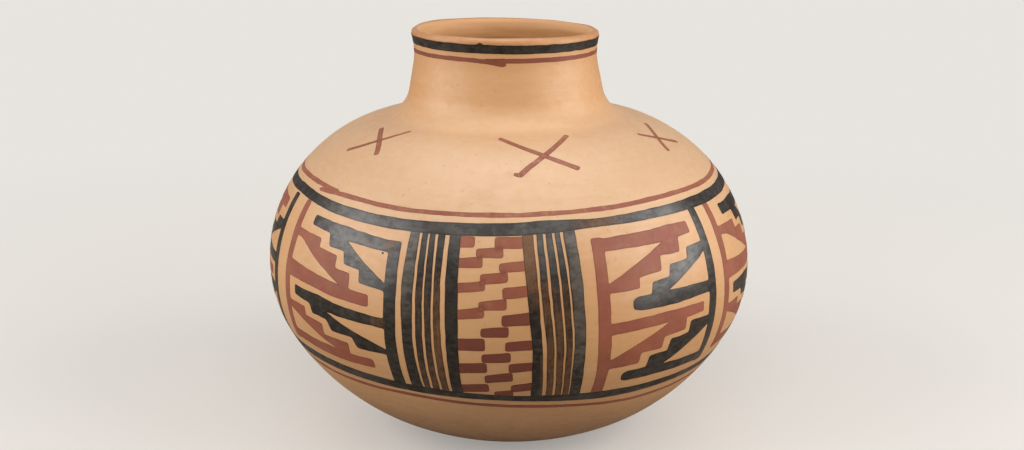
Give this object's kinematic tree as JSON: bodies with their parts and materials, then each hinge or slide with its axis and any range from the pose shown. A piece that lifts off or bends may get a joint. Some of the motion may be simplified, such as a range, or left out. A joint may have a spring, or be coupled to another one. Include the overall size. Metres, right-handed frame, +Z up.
{
  "type": "pueblo pottery jar",
  "caption": "Round-bellied coil-built clay jar with a short flared neck, painted with black and red slip: banded shoulder, stepped frets, upright lines, staggered ladder bars and crosses.",
  "frame": {"origin": "centre of the flat foot, on the surface that the jar stands on", "axes": "+Z up the jar's axis; the pictured front faces -Y, with +X on its right"},
  "size_m": [0.301, 0.3007, 0.249],
  "materials": {
    "clay": "stone-polished buff clay, satin, with warm fire clouds",
    "black_slip": "burnished black slip, thin and brown where the brush ran dry",
    "red_slip": "matt brick-red slip, uneven from the brush"
  },
  "bodies": {
    "root": {"moulded_base": "clay", "body_coil_1": "clay", "body_coil_2": "clay", "body_coil_3": "clay", "body_coil_4": "clay", "body_coil_5": "clay", "body_coil_6": "clay", "body_coil_7": "clay", "body_coil_8": "clay", "neck_coil_1": "clay", "neck_coil_2": "clay", "rim_coil": "clay", "rim_band_black": "black_slip", "shoulder_band_black": "black_slip", "base_band_black": "black_slip", "panel_lines_black_1": "black_slip", "left_fret_black_1": "black_slip", "right_fret_black_1": "black_slip", "panel_lines_black_2": "black_slip", "left_fret_black_2": "black_slip", "right_fret_black_2": "black_slip", "panel_lines_black_3": "black_slip", "left_fret_black_3": "black_slip", "right_fret_black_3": "black_slip", "neck_line_red": "red_slip", "shoulder_line_red": "red_slip", "base_line_red": "red_slip", "shoulder_crosses_red": "red_slip", "ladder_bars_red_1": "red_slip", "left_fret_red_1": "red_slip", "right_fret_red_1": "red_slip", "ladder_bars_red_2": "red_slip", "left_fret_red_2": "red_slip", "right_fret_red_2": "red_slip", "ladder_bars_red_3": "red_slip", "left_fret_red_3": "red_slip", "right_fret_red_3": "red_slip"}
  },
  "joints": []
}
